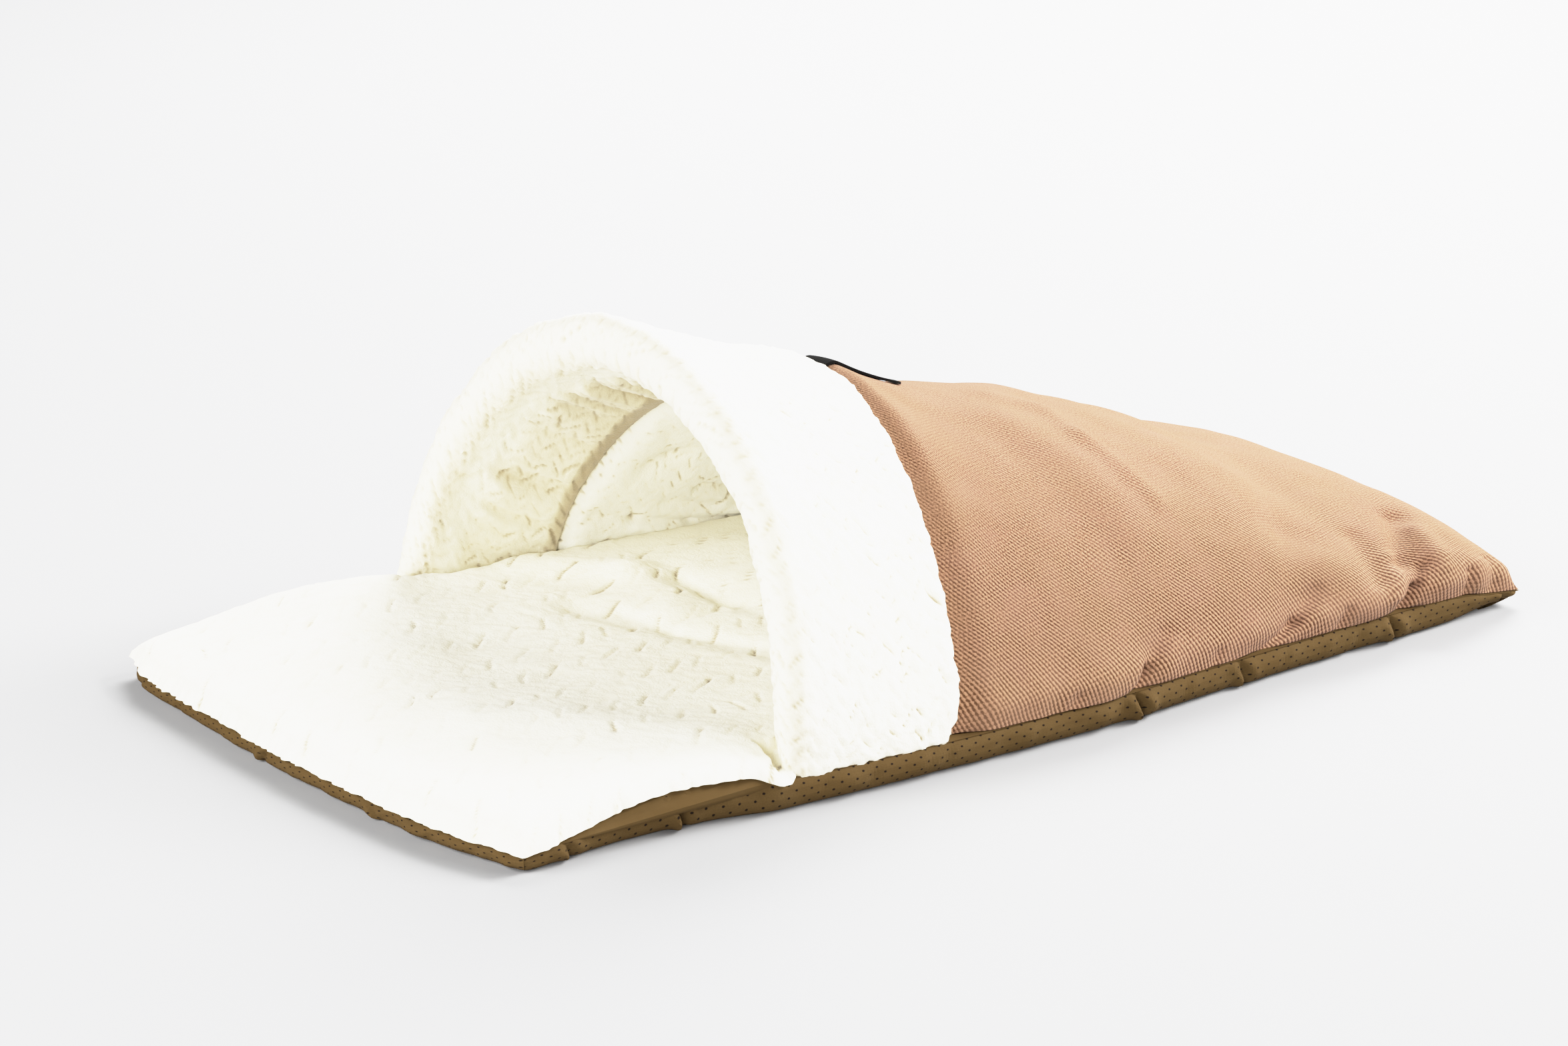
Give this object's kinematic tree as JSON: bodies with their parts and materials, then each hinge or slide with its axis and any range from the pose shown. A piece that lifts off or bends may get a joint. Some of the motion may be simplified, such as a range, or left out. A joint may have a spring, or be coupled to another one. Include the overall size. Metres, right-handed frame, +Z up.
{
  "type": "dog sleeping bag bed",
  "caption": "Padded pet sleeping bag with an arched plush mouth, a tan hood that slopes down to the foot end and an open plush tongue in front.",
  "frame": {"origin": "on the floor under the middle of the bed", "axes": "+Z up; -Y toward the open tongue and the mouth; +Y toward the closed foot end; +X toward the side seen in the picture"},
  "size_m": [0.4925, 0.9043, 0.2648],
  "materials": {
    "underside_cloth": "brown non-slip cloth with small dark grip dots",
    "plush": "short white pile in a herringbone of slanted tufts",
    "tan_twill": "coarse tan twill, matt",
    "lining_plush": "short cream pile in a herringbone of slanted tufts",
    "black_patch": "plain matt black"
  },
  "bodies": {
    "root": {"filled_mat_underside": "underside_cloth", "mat_plush_top": "plush", "hood_outer_cloth": "tan_twill", "hood_plush_lining": "lining_plush", "mouth_cuff": "plush", "label_patch": "black_patch"}
  },
  "joints": []
}
